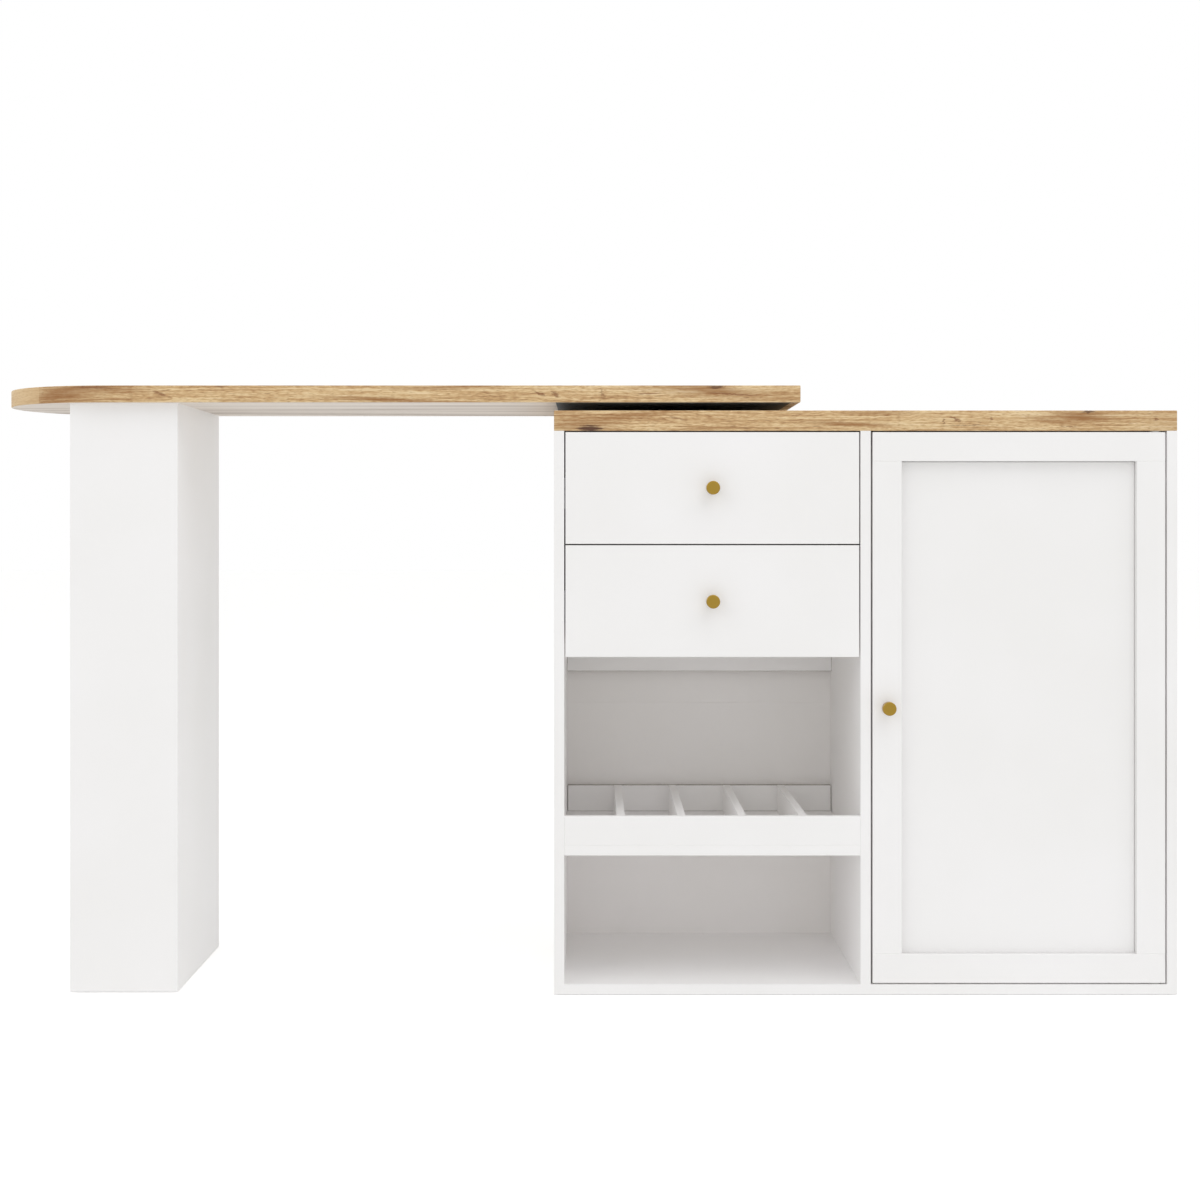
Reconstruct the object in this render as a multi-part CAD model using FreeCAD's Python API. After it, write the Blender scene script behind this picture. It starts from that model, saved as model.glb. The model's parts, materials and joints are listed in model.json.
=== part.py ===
import FreeCAD
import Part
import os

# Rotating bar table: a storage cabinet whose worktop carries a swivel, and a long bar top that
# turns on the swivel and stands on a box leg near its half-round end.
# Lengths are millimetres. Pieces are drawn with X from the cabinet's left side, Y from its front
# face towards its back and Z up from the floor. Each is moved to the table's own frame, with the
# origin on the floor under the middle of the whole table, when it is saved.

Vector = FreeCAD.Vector
X_AXIS = Vector(1, 0, 0)
Y_AXIS = Vector(0, 1, 0)
Z_AXIS = Vector(0, 0, 1)
FULL_TURN_DEGREES = 360

# General sizes
running_gap = 0.3
hole_clearance = 0.1
edge_chamfer = 1.0
edge_break = 0.7

# Cabinet carcass
cabinet_width = 920.0
cabinet_depth = 380.0
cabinet_height = 863.0
board = 15.0
worktop_thickness = 30.0
front_gap = 2.0
back_board_thickness = 3.0
back_board_setback = 7.0
back_groove_depth = 6.0
back_joint_height = 400.0
stretcher_bottom = 453.0
stretcher_height = 60.0

# Felt pads under the cabinet and the leg
pad_thickness = 1.0
pad_length = 60.0
pad_width = 30.0
pad_inset = 20.0

# Wine rack
wine_shelf_bottom = 206.0
wine_rail_height = 43.0
wine_board = 12.0
wine_divider_count = 4
wine_rear_rail_end_gap = 0.8

# Cupboard shelf on pins
shelf_height = 417.0
shelf_side_gap = 1.0
shelf_front_inset = 40.0
pin_radius = 2.5
pin_length = 16.0
pin_front_inset = 80.0
pin_rear_inset = 60.0

# Drawers
drawer_front_height = 165.0
drawer_board = 12.0
drawer_box_depth = 330.0
drawer_box_height = 110.0
drawer_box_lift = 20.0
drawer_bottom_thickness = 4.0
drawer_bottom_lift = 10.0
drawer_groove_depth = 6.0

# Telescopic drawer runners, three nested channels of sheet steel
runner_length = 328.0
runner_height = 45.0
runner_width = 12.7
runner_sheet = 1.2
runner_slack = 0.4
runner_front_gap = 2.0

# Framed door on pivot pins
door_thickness = 18.0
door_frame_width = 43.0
door_knob_side_gap = 3.0
door_panel_thickness = 4.0
door_panel_recess = 12.0
door_panel_groove = 8.0
door_panel_float = 0.5
door_hinge_rounding = 3.0
pivot_edge_distance = 14.0
pivot_pin_radius = 3.0
pivot_pin_hold = 10.0
pivot_pin_reach = 9.0
pivot_bush_wall = 2.0
pivot_bush_collar = 3.0
pivot_fit = 0.05

# Magnetic catch
catch_length = 46.0
catch_depth = 14.0
catch_height = 13.0
catch_side_distance = 30.0
strike_thickness = 1.5

# Round knobs
knob_radius = 10.0
knob_projection = 25.0
knob_head_length = 13.0
knob_neck_radius = 6.0

# Bar top
bar_length = 1210.0
bar_depth = 360.0
bar_thickness = 25.0
pivot_from_side = 195.0
pivot_from_square_end = 169.0

# Box leg under the bar
leg_width = 160.0
leg_depth = 325.0
leg_from_round_end = 127.0

# Swivel between the worktop and the bar
flange_radius = 35.0
flange_thickness = 5.0
thrust_washer_thickness = 1.7
thrust_washer_radius = 33.0
spindle_radius = 8.0
spindle_fit = 0.05
bush_wall = 3.0
nut_height = 12.0
nut_across_flats = 24.0
nut_sides = 6
nut_flange_radius = 18.0
nut_flange_height = 3.0
spindle_tail = 4.0
screw_circle_radius = 25.0
screw_count = 4
screw_shank_radius = 2.0
screw_head_radius = 4.0
screw_head_height = 2.2
screw_length = 22.0
screw_sides = 8

# Derived heights
carcass_bottom = pad_thickness
floor_top = carcass_bottom + board
worktop_bottom = cabinet_height - worktop_thickness
swivel_height = 2 * flange_thickness + thrust_washer_thickness + running_gap
bar_bottom = cabinet_height + swivel_height
bar_top_height = bar_bottom + bar_thickness
upper_drawer_bottom = worktop_bottom - front_gap - drawer_front_height
lower_drawer_bottom = upper_drawer_bottom - front_gap - drawer_front_height
wine_shelf_top = wine_shelf_bottom + board
wine_rail_top = wine_shelf_top + wine_rail_height

# Derived places along the cabinet and from front to back
inner_left = board
inner_right = cabinet_width - board
divider_left = (cabinet_width - board) / 2
divider_right = divider_left + board
left_bay = (inner_left, divider_left)
right_bay = (divider_right, inner_right)
back_rear = cabinet_depth - back_board_setback
back_front = back_rear - back_board_thickness
pivot_x = pivot_from_side
pivot_y = bar_depth / 2
bar_right = pivot_x + pivot_from_square_end
bar_left = bar_right - bar_length
leg_outer_x = bar_left + leg_from_round_end
leg_inner_x = leg_outer_x + leg_width
leg_front_y = (bar_depth - leg_depth) / 2
leg_rear_y = leg_front_y + leg_depth
door_span = (right_bay[0] + door_knob_side_gap, right_bay[1] - front_gap)
door_bottom = floor_top + front_gap
door_top = worktop_bottom - front_gap
door_pivot_x = door_span[1] - pivot_edge_distance
door_pivot_y = door_thickness / 2
frame_origin = Vector((bar_left + cabinet_width) / 2, (cabinet_depth - knob_projection) / 2, 0)


def box(x_span, y_span, z_span):
    """A block between the two ends of each span."""
    lengths = [span[1] - span[0] for span in (x_span, y_span, z_span)]
    return Part.makeBox(*lengths, Vector(x_span[0], y_span[0], z_span[0]))


def flat_face(points):
    """A face inside a closed run of straight edges."""
    return Part.Face(Part.makePolygon(points + points[:1]))


def turned(profile, base, axis):
    """A solid of revolution from (radius, distance along the axis) points."""
    points = [Vector(radius, 0, along) for radius, along in profile]
    solid = flat_face(points).revolve(Vector(), Z_AXIS, FULL_TURN_DEGREES)
    solid.Placement = FreeCAD.Placement(base, FreeCAD.Rotation(Z_AXIS, axis))
    return solid


def rod(radius, base, length, axis):
    """A round bar from base along axis."""
    return Part.makeCylinder(radius, length, base, axis)


def ring(outer, inner, base, length, axis):
    """A round sleeve or washer."""
    return rod(outer, base, length, axis).cut(rod(inner, base, length, axis))


def cut_all(solid, tools):
    """The solid with every tool taken out of it."""
    for tool in tools:
        solid = solid.cut(tool)
    return solid


def upright_edges(solid, x, y):
    """The vertical edges of a board at one corner of its plan."""
    near = [edge for edge in solid.Edges if edge.BoundBox.ZLength > edge.BoundBox.XLength]
    near = [edge for edge in near if edge.BoundBox.ZLength > edge.BoundBox.YLength]
    at_x = [edge for edge in near if abs(edge.BoundBox.Center.x - x) < edge_break]
    return [edge for edge in at_x if abs(edge.BoundBox.Center.y - y) < edge_break]


def front_broken(solid, x_limit):
    """A board with the sharp edges round its front face taken off, where they start before a limit."""
    front = solid.BoundBox.YMin
    edges = [edge for edge in solid.Edges if edge.BoundBox.YMax < front + edge_break]
    return solid.makeChamfer(edge_break, [edge for edge in edges if edge.BoundBox.XMin < x_limit])


def save(name, *solids):
    """Moves a node's solids to the table's frame and writes them to one file."""
    shape = solids[0] if len(solids) == 1 else Part.makeCompound(solids)
    shape.translate(-frame_origin)
    shape.exportStep(os.path.join("parts", name + ".step"))


def back_board_space(z_span):
    """The room of a back board, with its edges in the side panels' grooves."""
    x_span = (inner_left - back_groove_depth, inner_right + back_groove_depth)
    return box(x_span, (back_front, back_rear), z_span)


def floor_pad(x_middle, y_middle):
    """A thin felt pad stuck under a board, with its long side from left to right."""
    x_span = (x_middle - pad_length / 2, x_middle + pad_length / 2)
    y_span = (y_middle - pad_width / 2, y_middle + pad_width / 2)
    return box(x_span, y_span, (0, pad_thickness))


def pads_under(x_middles, y_span):
    """A row of pads along the front and one along the back of a board."""
    reach = pad_inset + pad_width / 2
    rows = (y_span[0] + reach, y_span[1] - reach)
    return [floor_pad(x, y) for x in x_middles for y in rows]


def pin_places():
    """Where the shelf pins leave the divider and the right side, with their directions."""
    height = shelf_height - pin_radius
    rows = (pin_front_inset, back_front - pin_rear_inset)
    left = [(Vector(divider_right, y, height), X_AXIS) for y in rows]
    right = [(Vector(inner_right, y, height), -X_AXIS) for y in rows]
    return left + right


def shelf_pin(place, inward):
    """A round pin, half of it in the board."""
    return rod(pin_radius, place - inward * (pin_length / 2), pin_length, inward)


def pin_holes():
    """The holes that take the shelf pins."""
    depth = pin_length / 2 + hole_clearance
    radius = pin_radius + hole_clearance
    return [rod(radius, place, depth, -inward) for place, inward in pin_places()]


def screw_places():
    """Centres of the swivel's screws, on a circle about the pivot."""
    step = FULL_TURN_DEGREES / screw_count
    arm = Vector(screw_circle_radius, 0, 0)
    turns = [FreeCAD.Rotation(Z_AXIS, step * (number + 1 / 2)) for number in range(screw_count)]
    return [Vector(pivot_x, pivot_y, 0) + turn.multVec(arm) for turn in turns]


def corners(radius, sides, along):
    """The corners of a regular outline about the Z axis, at one distance along it."""
    step = FULL_TURN_DEGREES / sides
    arm = Vector(radius, 0, along)
    return [FreeCAD.Rotation(Z_AXIS, step * number).multVec(arm) for number in range(sides)]


def faceted(profile, sides):
    """A turned form drawn with flat sides, from (radius, distance along the Z axis) points."""
    rings = [corners(radius, sides, along) for radius, along in profile]
    faces = [flat_face(rings[0]), flat_face(rings[-1])]
    for low, high in zip(rings, rings[1:]):
        for number in range(sides):
            faces.append(flat_face([low[number - 1], low[number], high[number], high[number - 1]]))
    return Part.Solid(Part.Shell(faces))


def screw(place, height, axis, clearance):
    """A countersunk screw with its head flush at a height; a clearance makes its hole instead."""
    shank = screw_shank_radius + clearance
    head = screw_head_radius + clearance
    solid = faceted([(head, 0), (shank, screw_head_height), (shank, screw_length + clearance)], screw_sides)
    base = Vector(place.x, place.y, height)
    solid.Placement = FreeCAD.Placement(base, FreeCAD.Rotation(Z_AXIS, axis))
    return solid


lower_flange_top = cabinet_height + flange_thickness
upper_flange_bottom = bar_bottom - flange_thickness
bush_radius = spindle_radius + spindle_fit + bush_wall


def lower_screws(clearance):
    """The screws, or their holes, that hold the lower flange to the worktop."""
    return [screw(place, lower_flange_top, -Z_AXIS, clearance) for place in screw_places()]


def upper_screws(clearance):
    """The screws, or their holes, that hold the upper flange to the bar."""
    return [screw(place, upper_flange_bottom, Z_AXIS, clearance) for place in screw_places()]


def pivot_point(height):
    """A point on the swivel's axis."""
    return Vector(pivot_x, pivot_y, height)


def bush_hole():
    """The hole through the worktop and the lower flange for the swivel's bush."""
    length = lower_flange_top - worktop_bottom
    return rod(bush_radius + hole_clearance, pivot_point(worktop_bottom), length, Z_AXIS)


def door_bush(height, inward, clearance):
    """A pivot bush let into a board; its collar stands in the gap at the end of the door."""
    bore = pivot_pin_radius + pivot_fit
    barrel = bore + pivot_bush_wall + clearance
    collar = front_gap - running_gap
    depth = pivot_pin_reach + clearance
    rim = barrel + pivot_bush_collar
    base = Vector(door_pivot_x, door_pivot_y, height)
    outside = [(0, -collar), (rim, -collar), (rim, 0), (barrel, 0), (barrel, depth), (0, depth)]
    return turned(outside, base, inward), rod(bore, base - inward * collar, collar + depth, inward)


def make_carcass():
    """Side panels, bottom, divider, worktop, back boards and the stretcher."""
    back_space = back_board_space((floor_top - back_groove_depth, worktop_bottom + back_groove_depth))
    upright = (carcass_bottom, worktop_bottom)
    depth = (0, cabinet_depth)
    holes = pin_holes()

    left = box((0, board), depth, upright).cut(back_space)
    right = cut_all(box((inner_right, cabinet_width), depth, upright), [back_space] + holes)
    save("left_side_panel", left.makeChamfer(edge_break, upright_edges(left, 0, 0)))
    save("right_side_panel", right.makeChamfer(edge_break, upright_edges(right, cabinet_width, 0)))

    floor = box((inner_left, inner_right), depth, (carcass_bottom, floor_top))
    floor_bush, _ = door_bush(floor_top, -Z_AXIS, hole_clearance)
    save("bottom_panel", cut_all(floor, [back_space, floor_bush]))
    reach = pad_inset + pad_length / 2
    pad_columns = (inner_left + reach, cabinet_width / 2, inner_right - reach)
    save("cabinet_floor_pads", *pads_under(pad_columns, (0, cabinet_depth)))

    divider = box((divider_left, divider_right), (0, back_front), (floor_top, worktop_bottom))
    save("centre_divider", cut_all(divider, holes))

    top = box((0, cabinet_width), depth, (worktop_bottom, cabinet_height))
    outline = [edge for edge in top.Edges if edge.BoundBox.ZLength < edge_chamfer]
    top_bush, _ = door_bush(worktop_bottom, Z_AXIS, hole_clearance)
    cuts = [back_space, top_bush, bush_hole()] + lower_screws(hole_clearance)
    save("worktop", cut_all(top.makeChamfer(edge_chamfer, outline), cuts))

    lower_span = (floor_top - back_groove_depth, back_joint_height)
    upper_span = (back_joint_height, worktop_bottom + back_groove_depth)
    save("lower_back_board", back_board_space(lower_span))
    save("upper_back_board", back_board_space(upper_span))

    stretcher_span = (stretcher_bottom, stretcher_bottom + stretcher_height)
    save("rear_stretcher", box(left_bay, (back_front - board, back_front), stretcher_span))


def make_wine_rack():
    """A fixed shelf with a front and a rear rail and dividers standing between them."""
    rail_span = (wine_shelf_top, wine_rail_top)
    between = (wine_board, back_front - wine_board)
    shelf = box(left_bay, (0, back_front), (wine_shelf_bottom, wine_shelf_top))
    save("wine_shelf", front_broken(shelf, cabinet_width))
    rail = box(left_bay, (0, wine_board), rail_span)
    save("wine_front_rail", front_broken(rail, cabinet_width))
    rear_x = (left_bay[0] + wine_rear_rail_end_gap, left_bay[1] - wine_rear_rail_end_gap)
    save("wine_rear_rail", box(rear_x, (between[1], back_front), rail_span))
    bay_width = left_bay[1] - left_bay[0]
    slot = (bay_width - wine_divider_count * wine_board) / (wine_divider_count + 1)
    for number in range(1, wine_divider_count + 1):
        right = left_bay[0] + number * (slot + wine_board)
        divider = box((right - wine_board, right), between, rail_span)
        save("wine_divider_" + str(number), divider)


def make_cupboard_shelf():
    """The loose shelf behind the door and the pins that it lies on."""
    x_span = (right_bay[0] + shelf_side_gap, right_bay[1] - shelf_side_gap)
    shelf = box(x_span, (shelf_front_inset, back_front), (shelf_height, shelf_height + board))
    save("cupboard_shelf", shelf)
    save("shelf_pins", *[shelf_pin(*spot) for spot in pin_places()])


def knob(x, z):
    """A turned knob: a round neck and a wider head with a flat face."""
    head_back = knob_projection - knob_head_length
    profile = [(0, 0), (knob_neck_radius, 0), (knob_neck_radius, head_back), (knob_radius, head_back)]
    profile += [(knob_radius, knob_projection), (0, knob_projection)]
    return turned(profile, Vector(x, 0, z), -Y_AXIS)


def channel(web_x, lip_x, half_height, y_span, middle_z):
    """A channel of sheet steel with its web at one side and its two flanges to the other."""
    sheet = runner_sheet if lip_x > web_x else -runner_sheet
    inner_height = half_height - runner_sheet
    half = [(web_x, half_height), (lip_x, half_height), (lip_x, inner_height)]
    half.append((web_x + sheet, inner_height))
    section = half + [(x, -z) for x, z in reversed(half)]
    points = [Vector(x, y_span[0], middle_z + z) for x, z in section]
    return flat_face(points).extrude(Vector(0, y_span[1] - y_span[0], 0))


def runner(wall_x, toward, middle_z):
    """The cabinet, middle and drawer members of one runner, nested with slack between them."""
    nest = runner_sheet + runner_slack
    half_height = runner_height / 2
    start = board + runner_front_gap
    y_span = (start, start + runner_length)
    cabinet_lip = runner_width - 2 * runner_sheet
    middle_lip = runner_width - nest
    members = [(0, cabinet_lip, half_height), (nest, middle_lip, half_height - nest)]
    members.append((runner_width, 2 * nest, half_height - 2 * nest))
    place = [(wall_x + toward * web, wall_x + toward * lip, half) for web, lip, half in members]
    return [channel(web, lip, half, y_span, middle_z) for web, lip, half in place]


def make_drawer(name, bottom):
    """One drawer: an inset front, a grooved box, a knob and a pair of telescopic runners."""
    front_span = (left_bay[0] + front_gap, left_bay[1] - front_gap)
    front_height = (bottom, bottom + drawer_front_height)
    box_span = (left_bay[0] + runner_width, left_bay[1] - runner_width)
    box_bottom = bottom + drawer_box_lift
    box_height = (box_bottom, box_bottom + drawer_box_height)
    box_depth = (board, board + drawer_box_depth)
    inside = (box_span[0] + drawer_board, box_span[1] - drawer_board)

    sheet_bottom = box_bottom + drawer_bottom_lift
    sheet_top = sheet_bottom + drawer_bottom_thickness
    sheet_span = (inside[0] - drawer_groove_depth, inside[1] + drawer_groove_depth)
    sheet = box(sheet_span, (board - drawer_groove_depth, box_depth[1]), (sheet_bottom, sheet_top))

    knob_x = (front_span[0] + front_span[1]) / 2
    knob_z = bottom + drawer_front_height / 2
    front = front_broken(box(front_span, (0, board), front_height), cabinet_width)
    left = box((box_span[0], inside[0]), box_depth, box_height).cut(sheet)
    right = box((inside[1], box_span[1]), box_depth, box_height).cut(sheet)
    back_depth = (box_depth[1] - drawer_board, box_depth[1])

    save(name + "_drawer_front", front.cut(sheet))
    save(name + "_drawer_sides", left, right)
    save(name + "_drawer_back", box(inside, back_depth, (sheet_top, box_height[1])))
    save(name + "_drawer_bottom", sheet)
    save(name + "_drawer_knob", knob(knob_x, knob_z))

    runner_z = (box_height[0] + box_height[1]) / 2
    pairs = zip(runner(left_bay[0], 1, runner_z), runner(left_bay[1], -1, runner_z))
    for member, pair in zip(("cabinet", "middle", "drawer"), pairs):
        save(name + "_runner_" + member + "_members", *pair)


def door_edge_rounded(solid):
    """A door piece with its front edge at the hinge side rounded, so that it swings clear."""
    rounded = solid.makeFillet(door_hinge_rounding, upright_edges(solid, door_span[1], 0))
    return front_broken(rounded, door_span[1] - 2 * door_hinge_rounding)


def make_door():
    """A framed door: rails across its full width, stiles between them and a panel in grooves."""
    depth = (0, door_thickness)
    low_rail = (door_bottom, door_bottom + door_frame_width)
    high_rail = (door_top - door_frame_width, door_top)
    stile = (low_rail[1], high_rail[0])
    inner_x = (door_span[0] + door_frame_width, door_span[1] - door_frame_width)

    panel_depth = (door_panel_recess, door_panel_recess + door_panel_thickness)
    deep_x = (inner_x[0] - door_panel_groove, inner_x[1] + door_panel_groove)
    deep_z = (stile[0] - door_panel_groove, stile[1] + door_panel_groove)
    groove = box(deep_x, panel_depth, deep_z)
    panel_x = (deep_x[0] + door_panel_float, deep_x[1] - door_panel_float)
    panel_z = (deep_z[0] + door_panel_float, deep_z[1] - door_panel_float)

    pin_ends = [(door_bottom, -Z_AXIS), (door_top, Z_AXIS)]
    pin_length = pivot_pin_hold + front_gap + pivot_pin_reach - running_gap
    pins = []
    pin_holes_in_door = []
    for height, outward in pin_ends:
        base = Vector(door_pivot_x, door_pivot_y, height) - outward * pivot_pin_hold
        pins.append(rod(pivot_pin_radius, base, pin_length, outward))
        pin_holes_in_door.append(rod(pivot_pin_radius + pivot_fit, base, pivot_pin_hold, outward))

    knob_x = (door_span[0] + inner_x[0]) / 2
    knob_z = (door_bottom + door_top) / 2
    bottom_rail = door_edge_rounded(box(door_span, depth, low_rail))
    top_rail = door_edge_rounded(box(door_span, depth, high_rail))
    knob_stile = front_broken(box((door_span[0], inner_x[0]), depth, stile), cabinet_width)
    hinge_stile = door_edge_rounded(box((inner_x[1], door_span[1]), depth, stile))

    save("door_bottom_rail", cut_all(bottom_rail, [groove, pin_holes_in_door[0]]))
    save("door_top_rail", cut_all(top_rail, [groove, pin_holes_in_door[1]]))
    save("door_knob_stile", knob_stile.cut(groove))
    save("door_hinge_stile", hinge_stile.cut(groove))
    save("door_panel", box(panel_x, panel_depth, panel_z))
    save("door_knob", knob(knob_x, knob_z))
    save("door_pivot_pins", *pins)

    bushes = [door_bush(floor_top, -Z_AXIS, 0), door_bush(worktop_bottom, Z_AXIS, 0)]
    save("door_pivot_bushes", *[outside.cut(bore) for outside, bore in bushes])
    make_catch()


def make_catch():
    """A magnetic catch under the worktop and its steel strike on the back of the door."""
    x_span = (door_span[0] + catch_side_distance, door_span[0] + catch_side_distance + catch_length)
    strike_back = door_thickness + strike_thickness
    catch_front = strike_back + running_gap
    z_span = (worktop_bottom - catch_height, worktop_bottom)
    strike_z = (z_span[0], door_top - edge_break)
    save("magnetic_catch", box(x_span, (catch_front, catch_front + catch_depth), z_span))
    save("catch_strike", box(x_span, (door_thickness, strike_back), strike_z))


def make_swivel():
    """Two screwed flanges, a thrust washer between them, and a spindle that turns in a bush."""
    lower = rod(flange_radius, pivot_point(cabinet_height), flange_thickness, Z_AXIS)
    save("swivel_lower_flange", cut_all(lower, [bush_hole()] + lower_screws(hole_clearance)))
    save("swivel_lower_screws", *lower_screws(0))

    bore = spindle_radius + spindle_fit
    bush_length = lower_flange_top - worktop_bottom
    save("swivel_bush", ring(bush_radius, bore, pivot_point(worktop_bottom), bush_length, Z_AXIS))
    washer_base = pivot_point(lower_flange_top)
    washer = ring(thrust_washer_radius, bore, washer_base, thrust_washer_thickness, Z_AXIS)
    save("swivel_thrust_washer", washer)

    upper = rod(flange_radius, pivot_point(upper_flange_bottom), flange_thickness, Z_AXIS)
    spindle_hole = rod(bore, pivot_point(upper_flange_bottom), flange_thickness, Z_AXIS)
    save("swivel_upper_flange", cut_all(upper, [spindle_hole] + upper_screws(hole_clearance)))
    save("swivel_upper_screws", *upper_screws(0))

    nut_top = worktop_bottom - running_gap
    nut_bottom = nut_top - nut_flange_height - nut_height
    spindle_bottom = nut_bottom - spindle_tail
    spindle_length = bar_bottom - spindle_bottom
    save("swivel_spindle", rod(spindle_radius, pivot_point(spindle_bottom), spindle_length, Z_AXIS))

    half_step = FreeCAD.Rotation(Z_AXIS, FULL_TURN_DEGREES / nut_sides / 2).multVec(X_AXIS).x
    hexagon = flat_face(corners(nut_across_flats / 2 / half_step, nut_sides, 0))
    hexagon.translate(pivot_point(nut_bottom))
    hexagon = hexagon.extrude(Vector(0, 0, nut_height))
    collar = rod(nut_flange_radius, pivot_point(nut_top), nut_flange_height, -Z_AXIS)
    nut_bore = rod(bore, pivot_point(nut_bottom), nut_top - nut_bottom, Z_AXIS)
    save("spindle_nut", hexagon.fuse(collar).cut(nut_bore).removeSplitter())


def make_bar_top():
    """A thick board with one half-round end and one square end."""
    radius = bar_depth / 2
    arc_x = bar_left + radius
    front_right = Vector(bar_right, 0, bar_bottom)
    rear_right = Vector(bar_right, bar_depth, bar_bottom)
    front_tangent = Vector(arc_x, 0, bar_bottom)
    rear_tangent = Vector(arc_x, bar_depth, bar_bottom)
    tip = Vector(bar_left, radius, bar_bottom)
    edges = [
        Part.LineSegment(front_tangent, front_right).toShape(),
        Part.LineSegment(front_right, rear_right).toShape(),
        Part.LineSegment(rear_right, rear_tangent).toShape(),
        Part.Arc(rear_tangent, tip, front_tangent).toShape(),
    ]
    slab = Part.Face(Part.Wire(edges)).extrude(Vector(0, 0, bar_thickness))
    outline = [edge for edge in slab.Edges if edge.BoundBox.ZLength < edge_chamfer]
    slab = slab.makeChamfer(edge_chamfer, outline)
    save("bar_top", cut_all(slab, upper_screws(hole_clearance)))


def make_leg():
    """A hollow box leg: wide front and rear panels, side panels between them and two end plates."""
    upright = (carcass_bottom, bar_bottom)
    outer_x = (leg_outer_x, leg_outer_x + board)
    inner_x = (leg_inner_x - board, leg_inner_x)
    between = (leg_front_y + board, leg_rear_y - board)
    full_x = (leg_outer_x, leg_inner_x)

    front = box(full_x, (leg_front_y, between[0]), upright)
    rear = box(full_x, (between[1], leg_rear_y), upright)
    front_corners = upright_edges(front, leg_outer_x, leg_front_y)
    front_corners += upright_edges(front, leg_inner_x, leg_front_y)
    rear_corners = upright_edges(rear, leg_outer_x, leg_rear_y)
    rear_corners += upright_edges(rear, leg_inner_x, leg_rear_y)
    save("leg_front_panel", front.makeChamfer(edge_break, front_corners))
    save("leg_rear_panel", rear.makeChamfer(edge_break, rear_corners))
    save("leg_outer_panel", box(outer_x, between, upright))
    save("leg_inner_panel", box(inner_x, between, upright))

    plate_x = (outer_x[1], inner_x[0])
    save("leg_top_plate", box(plate_x, between, (bar_bottom - board, bar_bottom)))
    save("leg_bottom_plate", box(plate_x, between, (carcass_bottom, floor_top)))
    save("leg_floor_pads", *pads_under([(leg_outer_x + leg_inner_x) / 2], (leg_front_y, leg_rear_y)))


os.makedirs("parts", exist_ok=True)
make_carcass()
make_wine_rack()
make_cupboard_shelf()
make_drawer("upper", upper_drawer_bottom)
make_drawer("lower", lower_drawer_bottom)
make_door()
make_swivel()
make_bar_top()
make_leg()
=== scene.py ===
# %% [markdown]
# # A rotating bar table
# A white storage cabinet carries a long oak bar that turns on a swivel and stands on a box leg.
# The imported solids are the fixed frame. This lesson dresses them: every board gets the finish of
# the real board, and the pieces whose edges catch the light are drawn again as finer surfaces.

# %% Load the frame
import json

import bpy
import numpy as np
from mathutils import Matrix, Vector


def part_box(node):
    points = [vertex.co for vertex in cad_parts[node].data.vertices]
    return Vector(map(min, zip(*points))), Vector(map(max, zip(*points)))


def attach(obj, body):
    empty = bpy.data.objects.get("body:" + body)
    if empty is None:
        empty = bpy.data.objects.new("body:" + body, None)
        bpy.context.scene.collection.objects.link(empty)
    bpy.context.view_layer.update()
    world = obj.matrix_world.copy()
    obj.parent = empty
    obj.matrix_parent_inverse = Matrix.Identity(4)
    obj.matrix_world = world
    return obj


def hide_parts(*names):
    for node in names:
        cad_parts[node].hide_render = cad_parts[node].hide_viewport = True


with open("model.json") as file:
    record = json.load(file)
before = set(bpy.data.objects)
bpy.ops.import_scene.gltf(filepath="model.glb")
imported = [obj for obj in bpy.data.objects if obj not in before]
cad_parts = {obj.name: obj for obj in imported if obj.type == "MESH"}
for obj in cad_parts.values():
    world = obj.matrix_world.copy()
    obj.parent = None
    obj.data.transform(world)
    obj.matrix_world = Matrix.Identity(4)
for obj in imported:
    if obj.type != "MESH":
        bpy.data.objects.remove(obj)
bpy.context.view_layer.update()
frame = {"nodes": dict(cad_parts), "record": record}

MM = 0.001
scene = bpy.context.scene
nodes = frame["nodes"]
print("nodes in the frame:", len(nodes))

# %% [markdown]
# ## Colours and nodes
# Colours are picked as sRGB hex values, as in any picture editor, but a shader counts in linear
# light. One function turns the first into the second. A second function adds a node together
# with its settings and its links, so that each material below reads as a short list of steps.

# %% Colours
SRGB_KNEE, SRGB_SLOPE, SRGB_OFFSET, SRGB_POWER = 0.04045, 12.92, 0.055, 2.4


def linear(hex_colour):
    """An sRGB hex colour as linear light: a channel is divided below a knee, raised to a power above."""
    srgb = np.array([int(hex_colour[place:place + 2], 16) for place in (1, 3, 5)]) / 255
    curve = ((srgb + SRGB_OFFSET) / (1 + SRGB_OFFSET)) ** SRGB_POWER
    return (*np.where(srgb <= SRGB_KNEE, srgb / SRGB_SLOPE, curve).tolist(), 1.0)


WHITE = linear("#FFFFFF")
print("linear mid grey:", round(linear("#808080")[0], 4))


# %% Nodes and materials
def add(tree, kind, inputs=None, stops=None, **settings):
    """Adds a node. Inputs take a value, or a node or socket to link; stops fill a ramp, its ends first."""
    node = tree.nodes.new(kind)
    for name, value in settings.items():
        setattr(node, name, value)
    for key, value in (inputs or {}).items():
        if isinstance(value, bpy.types.Node):
            value = value.outputs[0]
        if isinstance(value, bpy.types.NodeSocket):
            tree.links.new(value, node.inputs[key])
        else:
            node.inputs[key].default_value = value
    for number, (position, colour) in enumerate(stops or []):
        points = node.color_ramp.elements
        point = points[number] if number < 2 else points.new(position)
        point.position, point.color = position, colour
    return node


def new_material(name, **sockets):
    """An empty material with its shader's own sockets set, as material, node tree and shader."""
    material = bpy.data.materials.new(name)
    material.use_nodes = True
    shader = material.node_tree.nodes["Principled BSDF"]
    for socket, value in sockets.items():
        shader.inputs[socket.replace("_", " ")].default_value = value
    return material, material.node_tree, shader


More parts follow.
